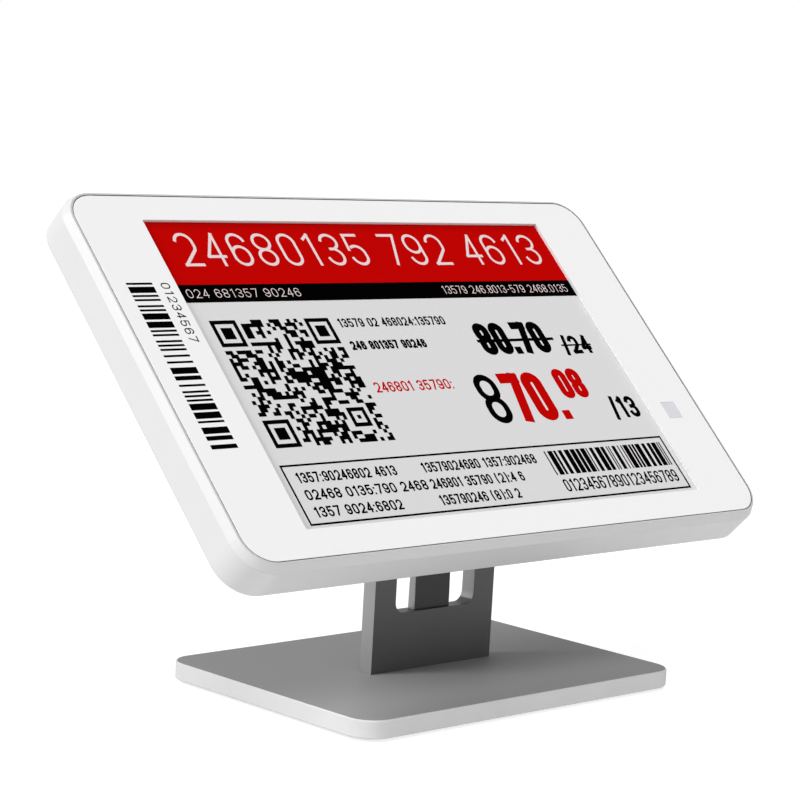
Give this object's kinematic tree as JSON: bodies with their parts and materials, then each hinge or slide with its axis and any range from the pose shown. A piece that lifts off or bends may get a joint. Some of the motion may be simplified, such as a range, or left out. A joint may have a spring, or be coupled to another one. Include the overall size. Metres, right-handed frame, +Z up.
{
  "type": "electronic shelf label",
  "caption": "Battery powered electronic paper label in a white case, tilting on an aluminium desk stand with a notched upright and a foot plate.",
  "frame": {"origin": "centre of the underside of the stand's pad, on the surface that the label stands on", "axes": "+X to the label's right as its front is read, +Y from front to back, +Z up"},
  "size_m": [0.2824, 0.1375, 0.189],
  "materials": {
    "silicone_pad": "matte",
    "satin_aluminium": "satin",
    "stand_aluminium": "bead blasted satin",
    "screw_steel": "satin",
    "nylon": "matte",
    "brass": "satin",
    "case_white": "fine satin moulding",
    "panel_white": "anti-glare satin",
    "adhesive": "matte",
    "epaper": "matte film on glass",
    "tail_film": "satin",
    "connector_plastic": "matte",
    "carrier_plastic": "matte",
    "board_green": "solder mask",
    "chip_black": "matte",
    "spring_metal": "nickel plated",
    "cell_steel": "bright",
    "button_grey": "matte",
    "lamp_white": "gloss",
    "light_pipe_frost": "frosted",
    "ink_black": "matte print",
    "ink_red": "matte print",
    "ink_white": "matte print"
  },
  "bodies": {
    "stand": {"base_pad": "silicone_pad", "base_plate": "satin_aluminium", "base_screws": "screw_steel", "upright": "stand_aluminium", "friction_finger": "stand_aluminium", "hinge_pin": "screw_steel", "hinge_nut": "screw_steel", "hinge_washers": "nylon"},
    "label": {"mount_head": "stand_aluminium", "mount_screws": "screw_steel", "mount_inserts": "brass", "rear_cover": "case_white", "case_screws": "screw_steel", "front_frame": "case_white", "front_panel": "panel_white", "panel_tape": "adhesive", "epaper_panel": "epaper", "display_tail": "tail_film", "tail_connector": "connector_plastic", "panel_carrier": "carrier_plastic", "main_board": "board_green", "board_screws": "screw_steel", "board_chips": "chip_black", "antenna": "spring_metal", "battery_cells": "cell_steel", "battery_contacts": "spring_metal", "button_switch": "chip_black", "status_led": "lamp_white", "light_pipe": "light_pipe_frost"},
    "door": {"battery_door": "case_white"},
    "button": {"pairing_button": "button_grey"}
  },
  "joints": [
    {"name": "label_tilt", "type": "hinge", "parent": "stand", "child": "label", "pos_m": [0, 0, 0.0872], "axis": [1, 0, 0], "range_deg": [-45, 45]},
    {"name": "door_slide", "type": "slide", "parent": "label", "child": "door", "axis": [0, 0.7071, 0.7071], "range_m": [0, 0.005]},
    {"name": "button_press", "type": "slide", "parent": "label", "child": "button", "axis": [0, -0.7071, 0.7071], "range_m": [0, 0.0006], "stiffness_N_per_m": 800}
  ]
}
